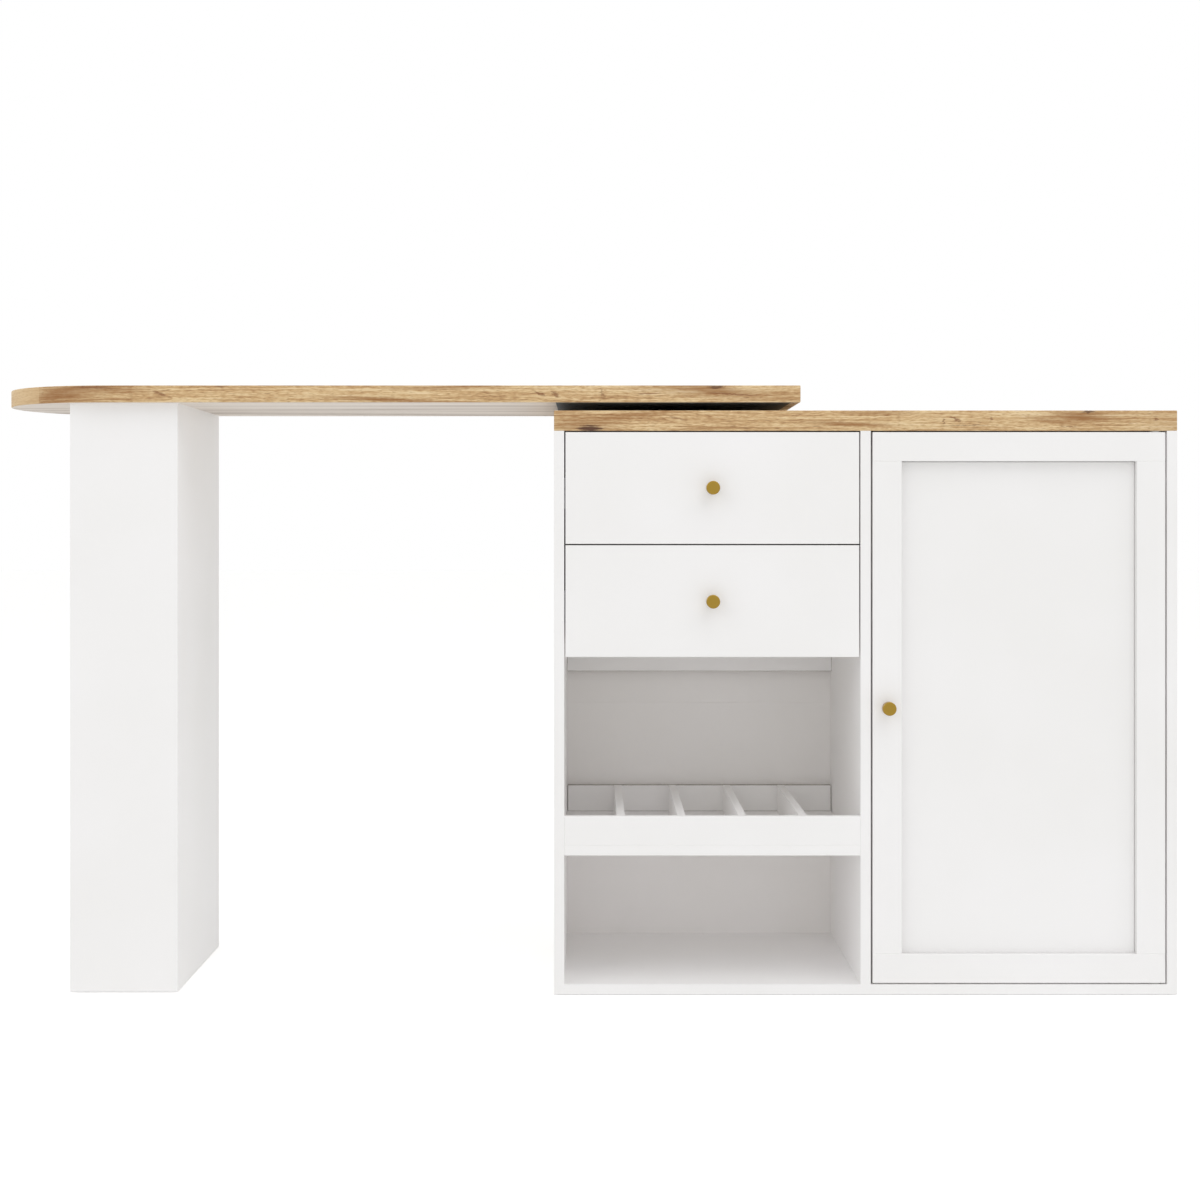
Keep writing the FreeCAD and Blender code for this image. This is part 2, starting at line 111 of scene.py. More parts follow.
def feed(tree, shader, colour=None, gloss=None, skin=None):
    """Links what is given into the shader: a colour socket, a roughness node and a bump node."""
    if colour is not None:
        tree.links.new(colour, shader.inputs["Base Color"])
    if gloss is not None:
        tree.links.new(gloss.outputs["Result"], shader.inputs["Roughness"])
    if skin is not None:
        tree.links.new(skin.outputs["Normal"], shader.inputs["Normal"])


print("helpers for nodes:", [helper.__name__ for helper in (add, new_material, feed)])

# %% [markdown]
# ## White melamine
# The carcass, the fronts and the leg are chipboard faced with melamine paper, pressed against a
# steel plate with a fine pearl. That gives the eye a warm white that is almost even, a soft sheen
# and a skin that is not quite flat. The pearl of 0.6 mm is too fine to show from across a room,
# so it is drawn at 1.6 mm. A wide, faint cloud keeps large panels from looking painted by computer.
# The back is thin hardboard, lacquered white, with a coarser skin and less sheen.

# %% White boards
TINT_FROM, TINT_TO = 0.35, 0.65
CLOUD = 260 * MM
PEARL_RELIEF, PEARL_STRENGTH = 0.05 * MM, 0.12
SHEEN_SPREAD = 0.05
# The grey mixed into the walls of the door's recess is painted shade.
RECESS_SHADE_GREY = linear("#E3E2E1")
MELAMINE = {"light": "#F9F8F8", "dark": "#F6F5F4", "pearl": 1.6 * MM, "roughness": 0.42}


def opening_mask(tree, place, centre, half):
    """1 inside a box seen from the front: the larger distance from its centre, in half sizes, is under 1."""
    inside = add(tree, "ShaderNodeMapping", {"Vector": place, "Location": centre, "Scale": half},
                 vector_type="TEXTURE")
    reach = add(tree, "ShaderNodeVectorMath", {0: inside}, operation="ABSOLUTE")
    split = add(tree, "ShaderNodeSeparateXYZ", {"Vector": reach})
    sides = {0: split.outputs["X"], 1: split.outputs["Z"]}
    farthest = add(tree, "ShaderNodeMath", sides, operation="MAXIMUM")
    return add(tree, "ShaderNodeMath", {0: farthest, 1: 1.0}, operation="LESS_THAN")


def white_board(name, light, dark, pearl, roughness, opening=None):
    """A pressed white board: a wide cloud mixes two whites, a fine noise bumps the skin.

    An opening, as a centre and half sizes, is a box whose walls are mixed to grey as painted shade."""
    material, tree, shader = new_material(name, IOR=1.5)
    place = add(tree, "ShaderNodeTexCoord").outputs["Object"]
    cloud = add(tree, "ShaderNodeTexNoise", {"Vector": place, "Scale": 1 / CLOUD, "Detail": 2.0})
    stops = [(TINT_FROM, linear(dark)), (TINT_TO, linear(light))]
    colour = add(tree, "ShaderNodeValToRGB", {"Fac": cloud}, stops).outputs["Color"]
    if opening:
        # Painted shade: the walls of the opening are mixed to grey.
        strip = opening_mask(tree, place, *opening)
        mix = add(tree, "ShaderNodeMix", {0: strip, 6: colour, 7: RECESS_SHADE_GREY}, data_type="RGBA")
        colour = mix.outputs[2]
    pearls = add(tree, "ShaderNodeTexNoise", {"Vector": place, "Scale": 1 / pearl, "Detail": 1.0})
    range_to = {"To Min": roughness - SHEEN_SPREAD, "To Max": roughness + SHEEN_SPREAD}
    sheen = add(tree, "ShaderNodeMapRange", {"Value": pearls, **range_to})
    relief = {"Height": pearls, "Strength": PEARL_STRENGTH, "Distance": PEARL_RELIEF}
    feed(tree, shader, colour, sheen, add(tree, "ShaderNodeBump", relief))
    return material


melamine = white_board("White melamine on chipboard", **MELAMINE)
hardboard = white_board("White lacquered hardboard", "#F9F7F6", "#F6F4F2", pearl=2.4 * MM, roughness=0.5)
print("made:", melamine.name, "and", hardboard.name)

# %% [markdown]
# ## Rustic oak laminate
# The worktop and the bar wear a printed oak decor. A flat-sawn oak board shows the growth rings of
# a log cut lengthwise: ring number is the distance from a pith that wanders below the face, so
# rings run straight near the sides and close into long arches over the pith. Streaks, short dark
# fibres, checks and a few knots lie over them, and the rings flow round the knots. The pattern
# reads the piece's own UV map in metres, along the grain and across it, so that the edging's grain
# follows the round end instead of cutting it.

# %% Grain, drawn out along the board
# Each layer has the length and the width of one grain in millimetres, and its detail.
GRAIN_LAYERS = {
    "wander": (800, 60, 1.0),
    "patch": (500, 80, 1.0),
    "band": (420, 14, 3.0),
    "streak": (90, 2.4, 3.0),
    "fibre": (11, 1.8, 2.0),
    "pore": (9, 1.3, 1.0),
    "check": (26, 2.0, 2.0),
}


def stretched_noise(tree, place, length_mm, width_mm, detail, seed=0.0):
    """Noise drawn out along the grain: the place is divided by a length and a width, then read."""
    scale = (1 / (length_mm * MM), 1 / (width_mm * MM), 1.0)
    start = (seed, seed, 0)
    mapped = add(tree, "ShaderNodeMapping", {"Vector": place, "Scale": scale, "Location": start})
    return add(tree, "ShaderNodeTexNoise", {"Vector": mapped, "Scale": 1.0, "Detail": detail})


print("grain layers:", list(GRAIN_LAYERS))

# %% Growth rings
RING_PITCH = 6.0 * MM
PITH_SWAY = 22 * MM
PITH_SPACING = 90 * MM
PITH_DEPTH = {"To Min": 10 * MM, "To Max": 60 * MM}
KNOT_BEND = 9 * MM


def growth_rings(tree, across, layers, bend):
    """Ring tone: the fraction left when the distance from a wandering pith is counted in ring pitches."""
    sway_to = {"To Min": -PITH_SWAY, "To Max": PITH_SWAY}
    sway = add(tree, "ShaderNodeMapRange", {"Value": layers["wander"], **sway_to})
    swayed = add(tree, "ShaderNodeMath", {0: across, 1: sway}, operation="ADD")
    offset = add(tree, "ShaderNodeMath", {0: bend, 1: KNOT_BEND, 2: swayed}, operation="MULTIPLY_ADD")
    tile = add(tree, "ShaderNodeMath", {0: offset, 1: PITH_SPACING}, operation="PINGPONG")
    depth = add(tree, "ShaderNodeMapRange", {"Value": layers["patch"], **PITH_DEPTH})
    far = add(tree, "ShaderNodeCombineXYZ", {"X": tile, "Y": depth})
    radius = add(tree, "ShaderNodeVectorMath", {0: far}, operation="LENGTH").outputs["Value"]
    count = add(tree, "ShaderNodeMath", {0: radius, 1: RING_PITCH}, operation="DIVIDE")
    return add(tree, "ShaderNodeMath", {0: count}, operation="FRACT")


print("ring pitch:", RING_PITCH, "m")

# %% [markdown]
# Knots and checks are what makes the decor rustic. Each is an ellipse in the board's own millimetres:
# its kind, place along and across, half length, half height, tilt in degrees and strength. The place
# is shaken by a fine noise before the distance is measured, so the edges tear along the fibre. Those
# on the front edges stand where the photograph shows them, and those on the top faces are made up.

# %% Knots, checks and smears
MARK_COLOURS = {"smear": "#94622F", "check": "#75421F", "knot": "#502C19", "plain": "#D8B98C"}
MARK_SOFTNESS = {"smear": 0.9, "check": 0.4, "knot": 0.4}
MARK_EDGE = 0.55
NOISE_MIDDLE = (0.5, 0.5, 0.5)
TEAR_GRAIN = (7, 2.6, 3.0)
TEAR_REACH = (16 * MM, 5 * MM, 0)
STREAK_PULL = 0.9


def mark_masks(tree, place, streak, marks):
    """One mask per mark: 1 inside an ellipse of the shaken place, fading to 0 over a soft rim."""
    shake = stretched_noise(tree, place, *TEAR_GRAIN).outputs["Color"]
    centred = add(tree, "ShaderNodeVectorMath", {0: shake, 1: NOISE_MIDDLE}, operation="SUBTRACT")
    tear = {0: centred, 1: TEAR_REACH, 2: place}
    torn = add(tree, "ShaderNodeVectorMath", tear, operation="MULTIPLY_ADD")
    masks = []
    for kind, along_mm, across_mm, half_length_mm, half_height_mm, tilt, share in marks:
        ellipse = {"Vector": torn, "Location": (along_mm * MM, across_mm * MM, 0),
                   "Rotation": (0, 0, np.radians(tilt)),
                   "Scale": (half_length_mm * MM, half_height_mm * MM, 1)}
        spot = add(tree, "ShaderNodeMapping", ellipse, vector_type="TEXTURE")
        reach = add(tree, "ShaderNodeVectorMath", {0: spot}, operation="LENGTH").outputs["Value"]
        comb = {0: streak, 1: -STREAK_PULL, 2: reach}
        combed = add(tree, "ShaderNodeMath", comb, operation="MULTIPLY_ADD")
        rim = {"From Min": MARK_EDGE + MARK_SOFTNESS[kind], "From Max": MARK_EDGE - MARK_SOFTNESS[kind]}
        mask = add(tree, "ShaderNodeMapRange", {"Value": combed, **rim})
        masks.append((mask.outputs["Result"], share, kind))
    return masks


print("kinds of mark:", list(MARK_SOFTNESS))

# %% Where the marks lie
# On the map a top face lies a metre across from the edges, so that neither shows the other's marks.
FACE_SHIFT = 1.0


def on_face(marks):
    """Moves marks given in plan onto the top face's part of the map: the shift is added across."""
    return [(kind, along, across + FACE_SHIFT / MM, *rest) for kind, along, across, *rest in marks]


worktop_marks = [
    ("smear", -14, 15, 30, 16, 0, 0.35), ("smear", 40, 17, 62, 6, 7, 0.5),
    ("smear", 20, 7, 34, 5, 3, 0.45), ("knot", 15, 3.5, 15, 5, 0, 0.95),
    ("smear", 96, 24, 40, 3, 5, 0.5), ("check", 143, 19, 14, 1.6, -12, 0.5),
    ("smear", 187, 4, 24, 1.8, 0, 0.6), ("smear", 444, 26, 40, 3, 0, 0.6),
    ("smear", 380, 11, 38, 2.6, -3, 0.75), ("smear", 430, 9, 34, 2.2, -2, 0.6),
    ("check", 538, 14, 2.0, 4.2, 0, 0.7), ("check", 556, 17, 8, 1.9, -28, 0.7),
    ("check", 608, 18, 2.0, 2.6, 0, 0.6), ("check", 574, 8, 36, 0.9, 0, 0.55),
    ("smear", 690, 16, 30, 3, -8, 0.5), ("smear", 745, 21, 56, 9, 0, 0.45),
    ("smear", 738, 21, 30, 5.5, -4, 0.75), ("knot", 752, 28, 9, 1.6, 0, 0.8),
    ("check", 722, 6, 16, 1.0, 0, 0.6), ("check", 851, 17, 3.0, 3.2, 0, 0.7),
    ("smear", 868, 15, 46, 34, 0, 0.28),
] + on_face([
    ("knot", 300, 85, 16, 11, 10, 0.9), ("smear", 300, 85, 60, 26, 10, 0.5),
    ("knot", 690, -70, 11, 8, -8, 0.9), ("smear", 690, -70, 46, 18, -8, 0.5),
    ("check", 520, 10, 40, 1.4, 3, 0.7), ("check", 120, -40, 30, 1.2, -2, 0.7),
])
bar_marks = [
    ("smear", -760, 13, 58, 18, 0, 0.6), ("smear", -788, 11, 30, 6, 8, 0.5),
    ("smear", -752, 17, 26, 5, 5, 0.5), ("smear", -690, 21, 46, 5, -3, 0.6),
    ("check", -716, 22, 26, 1.8, -3, 0.65), ("smear", -662, 14, 3, 10, 0, 0.4),
    ("check", -619, 13, 9, 1.7, -24, 0.6), ("check", -530, 23, 6, 1.6, 0, 0.6),
    ("smear", -286, 4, 70, 2.6, -2.5, 0.9), ("smear", -200, 22, 62, 3.0, 1, 0.7),
    ("check", -58, 13, 8, 1.6, -25, 0.65), ("check", -34, 11, 7, 3.0, -38, 0.65),
    ("check", 34, 13, 2.2, 6.5, 20, 0.5), ("check", 104, 13, 16, 1.2, 0, 0.5),
    ("smear", 196, 15, 84, 7, -3.5, 0.6), ("smear", 190, 20, 44, 4, -4, 0.7),
    ("knot", 203, 22.5, 11, 2.2, 0, 0.75), ("check", 230, 12, 30, 1.2, -4, 0.6),
] + on_face([
    ("knot", -480, 60, 17, 12, 8, 0.9), ("smear", -480, 60, 70, 28, 8, 0.5),
    ("knot", 40, -60, 12, 9, -10, 0.9), ("smear", 40, -60, 52, 20, -10, 0.5),
    ("check", -150, 20, 46, 1.4, 2, 0.7), ("check", -640, -70, 34, 1.3, -3, 0.7),
    ("knot", -250, 135, 8, 6, 0, 0.8), ("smear", -250, 135, 36, 14, 4, 0.4),
])
print("marks on the worktop:", len(worktop_marks), "and on the bar:", len(bar_marks))

# %% [markdown]
# Rings, bands, streaks and fibres add up to one tone, and a colour ramp turns it into oak. A single
# noise would look like smoke, because real grain has several widths at once. Pores, checks and marks
# are mixed in after the ramp, each with its own brown. The strip round the bar's end is paler, as if
# cut from another sheet, and meets the front strip at a sharp joint.

# %% Oak laminate
TONE_FROM = {"From Min": 0.3, "From Max": 0.7}
TONE_WEIGHTS = {"band": 0.26, "streak": 0.36, "fibre": 0.3}
RING_WEIGHT = 0.14
OAK_TINTS = ((0.12, "#F0D9B2"), (0.95, "#8C623B"), (0.42, "#E2C697"), (0.66, "#C6A070"))
PORE_FROM, PORE_SHARE = {"From Min": 0.56, "From Max": 0.72}, 0.5
CHECK_FROM, CHECK_SHARE = {"From Min": 0.67, "From Max": 0.73}, 0.7
OAK_GLOSS = {"To Min": 0.48, "To Max": 0.64}
PORE_RELIEF, PORE_STRENGTH = 0.06 * MM, 0.15
# The strip has its two ends along the map in millimetres, its strength and its colour.
ROUND_END_STRIP = (-1158, -813, 0.6, "plain")


def span_mask(tree, along, start, end):
    """A mask that is 1 between two places along the board and 0 beyond them."""
    after = add(tree, "ShaderNodeMath", {0: along, 1: start}, operation="GREATER_THAN")
    before = add(tree, "ShaderNodeMath", {0: along, 1: end}, operation="LESS_THAN")
    return add(tree, "ShaderNodeMath", {0: after, 1: before}, operation="MULTIPLY")


def oak_tone(tree, across, layers, tones, masks):
    """The sum of rings, bands, streaks and fibres, each with its weight; marks but checks bend the rings."""
    bend = 0.0
    for mask, share, kind in masks:
        if kind != "check":
            bend = add(tree, "ShaderNodeMath", {0: mask, 1: share, 2: bend}, operation="MULTIPLY_ADD")
    rings = growth_rings(tree, across, layers, bend)
    tone = add(tree, "ShaderNodeMath", {0: rings, 1: RING_WEIGHT}, operation="MULTIPLY")
    for key, weight in TONE_WEIGHTS.items():
        tone = add(tree, "ShaderNodeMath", {0: tones[key], 1: weight, 2: tone}, operation="MULTIPLY_ADD")
    return tone


def oak_laminate(name, seed, marks, strip=None):
    """Oak decor: a tone coloured by a ramp; pores, checks, marks and an edging strip are mixed in."""
    material, tree, shader = new_material(name, IOR=1.5)
    place = add(tree, "ShaderNodeTexCoord").outputs["UV"]
    split = add(tree, "ShaderNodeSeparateXYZ", {"Vector": place})
    layers = {key: stretched_noise(tree, place, *size, seed) for key, size in GRAIN_LAYERS.items()}
    tones = {key: add(tree, "ShaderNodeMapRange", {"Value": layers[key], **TONE_FROM})
             for key in TONE_WEIGHTS}
    masks = mark_masks(tree, place, tones["streak"], marks)
    tone = oak_tone(tree, split.outputs["Y"], layers, tones, masks)
    stops = [(position, linear(tint)) for position, tint in OAK_TINTS]
    colour = add(tree, "ShaderNodeValToRGB", {"Fac": tone}, stops).outputs["Color"]

    pore = add(tree, "ShaderNodeMapRange", {"Value": layers["pore"], **PORE_FROM})
    check = add(tree, "ShaderNodeMapRange", {"Value": layers["check"], **CHECK_FROM})
    masks = [(pore, PORE_SHARE, "smear"), (check, CHECK_SHARE, "check")] + masks
    if strip:
        start_mm, end_mm, share, kind = strip
        masks.append((span_mask(tree, split.outputs["X"], start_mm * MM, end_mm * MM), share, kind))
    for mask, share, kind in masks:
        amount = add(tree, "ShaderNodeMath", {0: mask, 1: share}, operation="MULTIPLY")
        layer = {0: amount, 6: colour, 7: linear(MARK_COLOURS[kind])}
        colour = add(tree, "ShaderNodeMix", layer, data_type="RGBA").outputs[2]

    gloss = add(tree, "ShaderNodeMapRange", {"Value": layers["streak"], **OAK_GLOSS})
    relief = {"Height": layers["pore"], "Strength": PORE_STRENGTH, "Distance": PORE_RELIEF}
    feed(tree, shader, colour, gloss, add(tree, "ShaderNodeBump", relief))
    return material


worktop_oak = oak_laminate("Rustic oak laminate, worktop", seed=3.0, marks=worktop_marks)
bar_oak = oak_laminate("Rustic oak laminate, bar", seed=11.0, marks=bar_marks, strip=ROUND_END_STRIP)
print("made:", worktop_oak.name, "and", bar_oak.name)

# %% [markdown]
# ## Backing paper and painted shade under the bar
# Under a laminated board the maker presses a plain paper, so that the board does not warp. It is a
# dull grey with the faint long streaks of its own fibre, much rougher than the decor. Where the bar
# sweeps over the worktop, a span of its underside is mixed to a dark grey with a fine nap. This is painted
# shade, and it leaves the gap between the two boards almost black, from a sharp start by the worktop's end.

# %% Backing paper and painted shade under the bar
PAPER_STREAKS = (900, 55, 4.0)
PAPER_TINTS = ((0.36, "#EDE5DC"), (0.68, "#B2A69B"), (0.53, "#DFD6CD"))
SHADE_NAP = 1.5 * MM
SHADE_TINTS = ((0.3, "#757A80"), (0.7, "#8A8F95"))
SHADE_FROM_WORKTOP_END = 2.5 * MM
SHADE_FROM_BAR_END = 14 * MM


def backing_paper(name, shaded_span=None):
    """Backing paper: long streaks tint it, and painted shade, a dark grey with a fine nap, covers a span
    along the board.
    """
    material, tree, shader = new_material(name, Roughness=0.85, Specular_IOR_Level=0.15)
    place = add(tree, "ShaderNodeTexCoord").outputs["UV"]
    streaks = stretched_noise(tree, place, *PAPER_STREAKS)
    stops = [(position, linear(tint)) for position, tint in PAPER_TINTS]
    colour = add(tree, "ShaderNodeValToRGB", {"Fac": streaks}, stops).outputs["Color"]
    # Painted shade: a dark grey span with a fine nap is mixed in where the bar lies over the worktop.
    if shaded_span:
        nap = add(tree, "ShaderNodeTexNoise", {"Vector": place, "Scale": 1 / SHADE_NAP, "Detail": 2.0})
        stops = [(position, linear(tint)) for position, tint in SHADE_TINTS]
        shade_colour = add(tree, "ShaderNodeValToRGB", {"Fac": nap}, stops)
        along = add(tree, "ShaderNodeSeparateXYZ", {"Vector": place}).outputs["X"]
        layer = {0: span_mask(tree, along, *shaded_span), 6: colour, 7: shade_colour.outputs["Color"]}
        colour = add(tree, "ShaderNodeMix", layer, data_type="RGBA").outputs[2]
    feed(tree, shader, colour)
    return material


# The painted shade runs from just inside the worktop's end to short of the bar's end.
shade_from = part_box("worktop")[0].x + SHADE_FROM_WORKTOP_END
shade_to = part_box("bar_top")[1].x - SHADE_FROM_BAR_END
worktop_backing = backing_paper("Grey backing paper")
bar_backing = backing_paper("Grey backing paper with painted shade under the bar", (shade_from, shade_to))
print("made:", worktop_backing.name, "and", bar_backing.name)

# %% [markdown]
# ## Metals and small finishes
# Knobs are turned brass with a thin clear lacquer: the lathe leaves fine rings on the face, which
# soften the gloss. The swivel is powder-coated steel, a thick paint that dries with an orange peel.
# Screws, pins and runners are zinc-plated steel, bright but cloudy. Bushes are moulded nylon, which
# has a satin skin, and the floor pads are pressed felt, dull and hairy. One noise is enough for each
# of them, because none is seen large.

# %% Turned brass
LATHE_RINGS = (500, 0.5, 2.0)
LATHE_RELIEF, LATHE_STRENGTH = 0.03 * MM, 0.1
BRASS_GLOSS = {"To Min": 0.24, "To Max": 0.42}
brass, tree, shader = new_material("Turned lacquered brass", Base_Color=linear("#AA8B3D"), Metallic=1.0)
place = add(tree, "ShaderNodeTexCoord").outputs["UV"]
rings = stretched_noise(tree, place, *LATHE_RINGS)
soft = add(tree, "ShaderNodeMapRange", {"Value": rings, **BRASS_GLOSS})
relief = {"Height": rings, "Strength": LATHE_STRENGTH, "Distance": LATHE_RELIEF}
feed(tree, shader, gloss=soft, skin=add(tree, "ShaderNodeBump", relief))
print("made:", brass.name)

# %% Powder coat, zinc, nylon and felt
GRAIN_STRENGTH = 0.3


def grained(name, tints, grain_mm, gloss, relief_mm, **sockets):
    """A finish with one even grain: the noise tints, changes the gloss and bumps the surface."""
    material, tree, shader = new_material(name, **sockets)
    place = add(tree, "ShaderNodeTexCoord").outputs["Object"]
    size = 1 / (grain_mm * MM)
    grain = add(tree, "ShaderNodeTexNoise", {"Vector": place, "Scale": size, "Detail": 2.0})
    stops = [(TINT_FROM, linear(tints[0])), (TINT_TO, linear(tints[1]))]
    colour = add(tree, "ShaderNodeValToRGB", {"Fac": grain}, stops).outputs["Color"]
    rough = add(tree, "ShaderNodeMapRange", {"Value": grain, "To Min": gloss[0], "To Max": gloss[1]})
    relief = {"Height": grain, "Strength": GRAIN_STRENGTH, "Distance": relief_mm * MM}
    feed(tree, shader, colour, rough, add(tree, "ShaderNodeBump", relief))
    return material


powder_coat = grained("Black powder-coated steel", ("#0E0E0D", "#171716"),
                      grain_mm=1.2, gloss=(0.4, 0.6), relief_mm=0.06, Specular_IOR_Level=0.2)
zinc = grained("Zinc-plated steel", ("#B9BDC0", "#CDD0D2"),
               grain_mm=5.0, gloss=(0.28, 0.42), relief_mm=0.01, Metallic=1.0)
nylon = grained("Moulded black nylon", ("#131312", "#1A1A19"),
                grain_mm=2.0, gloss=(0.4, 0.55), relief_mm=0.02, IOR=1.53)
grey_nylon = grained("Moulded grey nylon", ("#A0A09D", "#ACACA8"),
                     grain_mm=2.0, gloss=(0.4, 0.55), relief_mm=0.02, IOR=1.53)
felt = grained("Pressed grey felt", ("#7E7C78", "#94918C"),
               grain_mm=1.0, gloss=(0.9, 1.0), relief_mm=0.4, IOR=1.45)
print("made:", [finish.name for finish in (powder_coat, zinc, nylon, grey_nylon, felt)])

# %% [markdown]
# ## Dress the boards
# The record says which material slot each solid belongs to, so one table from slot to finish
# dresses all of them. The solids keep their meshes: only their material changes. The bushes of the
# door are grey, so that they don't show as dark spots in the gap under a white door.

# %% Finishes on the solids
finish_of = {
    "white_laminate": melamine, "white_fibreboard": hardboard, "oak_laminate": worktop_oak,
    "brass": brass, "black_steel": powder_coat, "zinc_steel": zinc, "nylon": nylon, "felt": felt,
}
for part in frame["record"]["subparts"]:
    mesh = nodes[part["node"]].data
    mesh.materials.clear()
    mesh.materials.append(finish_of[part["material_slot"]])
nodes["door_pivot_bushes"].data.materials[0] = grey_nylon

# %% [markdown]
# ## Oak boards with soft edges
# A laminated board is edged with a thin strip and its corners are rolled over by about a
# millimetre. That small round is what catches the light along a board. Each board is an outline
# with rounded corners, carried up through a profile that starts inset, rolls out, runs up and
# rolls in again. The bar's round end is the same outline with two corners as wide as half the bar.
# A Bevel modifier could round the solid, but it would not lay the grain round the end.


# %% Meshes from arrays
def make_mesh(name, vertices, faces, corner_uvs, smooth, *materials):
    """Puts vertices, faces, a UV pair per face corner and a smooth flag per face into a mesh."""
    mesh = bpy.data.meshes.new(name)
    mesh.from_pydata(vertices.tolist(), [], faces)
    mesh.uv_layers.new(name="UVMap").data.foreach_set("uv", corner_uvs.astype(np.float32).ravel())
    mesh.polygons.foreach_set("use_smooth", smooth)
    for material in materials:
        mesh.materials.append(material)
    mesh.validate()
    piece = bpy.data.objects.new(name, mesh)
    scene.collection.objects.link(piece)
    return piece


def wrapped_quads(rings, around):
    """Quads of a grid that closes round on itself: a point, the next one round, and the two above."""
    row, column = np.meshgrid(np.arange(rings - 1), np.arange(around), indexing="ij")
    following = (column + 1) % around
    above = row + 1
    corners = (row * around + column, row * around + following,
               above * around + following, above * around + column)
    return np.stack(corners, axis=-1).reshape(-1, 4)


def wrapped_uvs(run, climb):
    """A UV pair for each corner of those quads: the run round the grid and the climb up it."""
    row, column = np.meshgrid(np.arange(len(climb) - 1), np.arange(len(run) - 1), indexing="ij")
    u = np.stack([run[column], run[column + 1], run[column + 1], run[column]], axis=-1)
    v = np.stack([climb[row], climb[row], climb[row + 1], climb[row + 1]], axis=-1)
    return np.stack([u, v], axis=-1).reshape(-1, 2)


print("quads in a grid of 3 rings by 8:", len(wrapped_quads(3, 8)))

# %% Outline and edge profile
ARC_STEPS = 40
ROLL_STEPS = 5


def rounded_outline(low, high, radii):
    """Corner arcs of a rectangle: a centre inset by each radius, plus the radius along a quarter turn."""
    signs = np.array([(1, 1), (-1, 1), (-1, -1), (1, -1)])
    radii = np.array(radii)[:, None]
    corners = np.where(signs < 0, low, high)
    turn = np.radians(90 * np.arange(4)[:, None] + np.linspace(0, 90, ARC_STEPS + 1))
    outward = np.stack([np.cos(turn), np.sin(turn)], axis=-1)
    points = (corners - signs * radii)[:, None, :] + radii[:, None] * outward
    return points.reshape(-1, 2), outward.reshape(-1, 2)


def board_profile(bottom, top, roll):
    """Inset and height up a rolled edge: a quarter circle out, a straight rise, a quarter circle in."""
    turn = np.radians(np.linspace(0, 90, ROLL_STEPS + 1))
    inset = roll * (1 - np.sin(turn))
    rise = roll * (1 - np.cos(turn))
    return np.concatenate([inset, inset[::-1]]), np.concatenate([bottom + rise, (top - rise)[::-1]])


print("steps round a corner:", ARC_STEPS, "and over an edge:", ROLL_STEPS)


# %% A board swept from an outline and a profile
def outline_run(outline):
    """Arc length along a closed outline, counted so that it equals x at the front left corner."""
    closed = np.concatenate([outline, outline[:1]])
    run = np.concatenate([[0], np.cumsum(np.linalg.norm(np.diff(closed, axis=0), axis=1))])
    front_left = 3 * (ARC_STEPS + 1) - 1
    return run + outline[front_left, 0] - run[front_left]


def swept_board(name, low, high, radii, profile, finishes, stand=np.asarray, soft=True):
    """An outline swept up a profile of insets and heights; edges map run and climb, faces x and y.

    The finishes are those of the edges, the lower face and the upper face."""
    outline, outward = rounded_outline(low[:2], high[:2], radii)
    inset, height = profile
    rings, around = len(inset), len(outline)
    plan = outline[None] - inset[:, None, None] * outward[None]
    level = np.broadcast_to(height[:, None, None], (rings, around, 1))
    vertices = np.concatenate([plan, level], axis=2).reshape(-1, 3)

    quads = wrapped_quads(rings, around)
    under = np.arange(around)[::-1]
    over = np.arange(around) + (rings - 1) * around
    faces = quads.tolist() + [under.tolist(), over.tolist()]
    side_uvs = wrapped_uvs(outline_run(outline), height - low[2])
    under_uvs = vertices[under, :2] - (0, FACE_SHIFT)
    over_uvs = vertices[over, :2] + (0, FACE_SHIFT)
    uvs = np.concatenate([side_uvs, under_uvs, over_uvs])
    smooth = [soft] * len(quads) + [False, False]
    piece = make_mesh(name, stand(vertices), faces, uvs, smooth, *finishes)
    piece.data.polygons.foreach_set("material_index", [0] * len(quads) + [1, 2])
    print(name, "vertices:", len(vertices), "faces:", len(faces))
    return piece


print("finishes of a board:", ("edges", "lower face", "upper face"))

# %% Worktop and bar
EDGE_ROLL = 1.2 * MM
SQUARE_CORNER = 1.5 * MM


def oak_board(name, node, round_left, oak, backing, body):
    """An oak board in the box of its solid, with oak edges and top and a backing paper below."""
    low, high = (np.array(corner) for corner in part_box(node))
    left = (high[1] - low[1]) / 2 if round_left else SQUARE_CORNER
    corners = (SQUARE_CORNER, left, left, SQUARE_CORNER)
    profile = board_profile(low[2], high[2], EDGE_ROLL)
    piece = swept_board(name, low, high, corners, profile, (oak, backing, oak))
    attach(piece, body)
    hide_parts(node)


oak_board("worktop_board", "worktop", False, worktop_oak, worktop_backing, "cabinet")
oak_board("bar_board", "bar_top", True, bar_oak, bar_backing, "bar")

# %% [markdown]
# ## Rails with raw edges and painted shade lines
# Out of sight the maker saves edging: the rails at the back of the open bays are cut from faced
# board and their sawn edges stay bare. The raw core is greyer and rougher than the facing, and its
# grey is set darker still as painted shade, which draws the thin dark line under the upper rail and
# along the top of the lower one. The same swept board serves, laid with its profile from back to front,
# so that its edges are the sawn sides.


# %% Boards that stand upright
def upright(points):
    """Stands a board up: its plan (x, y) becomes (x, height) and its thickness runs to the front."""
    return np.stack([points[:, 0], -points[:, 2], points[:, 1]], axis=-1)


def upright_box(node):
    """A standing board's box as it lies in plan, with its back below and its front on top."""
    low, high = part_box(node)
    return np.array((low.x, low.z, -high.y)), np.array((high.x, high.z, -low.y))


